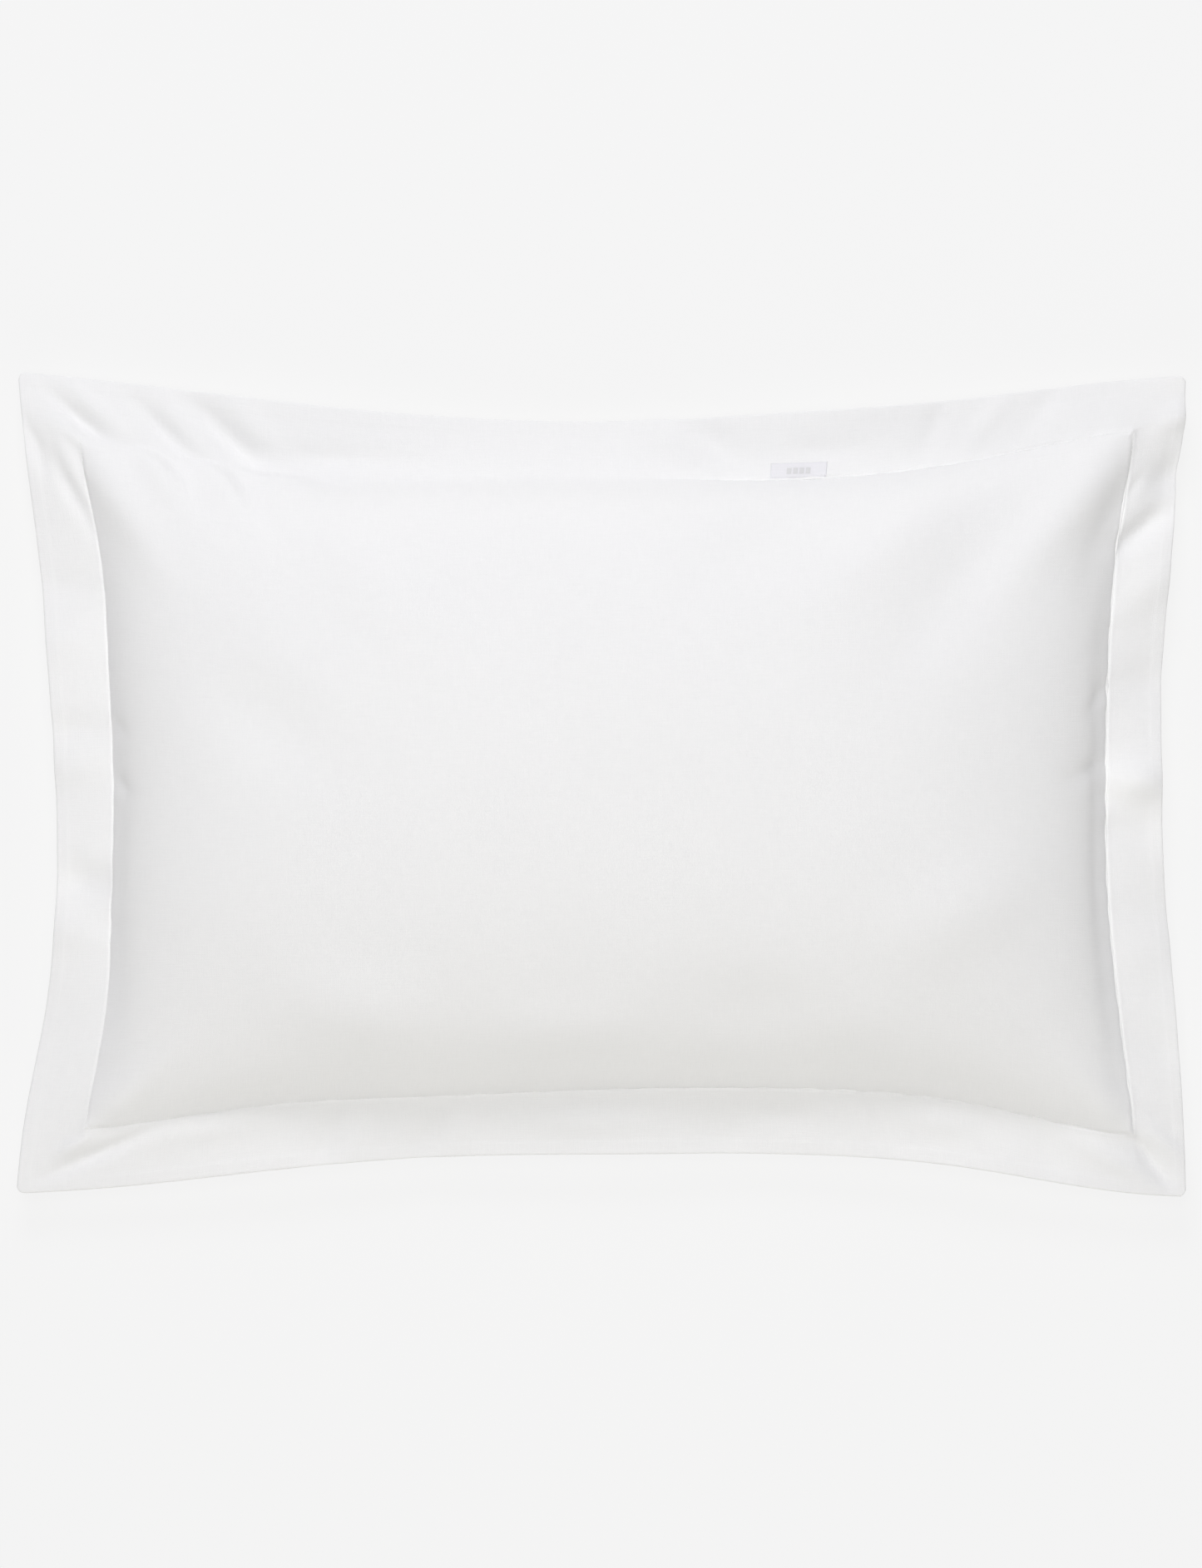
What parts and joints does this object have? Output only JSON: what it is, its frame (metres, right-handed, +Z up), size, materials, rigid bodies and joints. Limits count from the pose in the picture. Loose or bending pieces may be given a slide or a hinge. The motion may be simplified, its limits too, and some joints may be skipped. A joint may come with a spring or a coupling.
{
  "type": "bed pillow",
  "caption": "Plump rectangular bed pillow in a plain cotton case with a flat flange all round and an envelope opening underneath.",
  "frame": {"origin": "middle of the underside, on the surface that the pillow lies on", "axes": "+X along the pillow's length towards the end with the envelope opening, +Y along its width towards the edge with the woven label, +Z up out of the front panel"},
  "size_m": [0.834, 0.587, 0.1308],
  "materials": {
    "case_cotton": "matte",
    "white_thread": "matte",
    "label_ribbon": "satin",
    "ticking_cloth": "matte",
    "piping_cloth": "matte",
    "fill_fibre": "matte"
  },
  "bodies": {
    "case": {"case_front_panel": "case_cotton", "case_back_panel": "case_cotton", "case_envelope_flap": "case_cotton", "opening_hem": "case_cotton", "flap_hem": "case_cotton", "edge_seam_allowance": "case_cotton", "border_topstitch_front": "white_thread", "border_topstitch_back": "white_thread", "opening_hem_stitch": "white_thread", "flap_hem_stitch": "white_thread", "opening_bar_tacks": "white_thread", "woven_label": "label_ribbon", "case_care_label": "label_ribbon"},
    "insert": {"fibre_fill": "fill_fibre", "ticking_top": "ticking_cloth", "ticking_bottom": "ticking_cloth", "ticking_piping": "piping_cloth", "ticking_closing_seam": "white_thread", "insert_care_label": "label_ribbon"}
  },
  "joints": [
    {"name": "insert_slide", "type": "slide", "parent": "case", "child": "insert", "axis": [1, 0, 0], "range_m": [0, 0.8], "deforming": ["case_front_panel", "case_back_panel", "case_envelope_flap", "opening_hem", "flap_hem", "edge_seam_allowance", "border_topstitch_front", "border_topstitch_back", "opening_hem_stitch", "flap_hem_stitch", "opening_bar_tacks", "woven_label", "case_care_label"]}
  ]
}
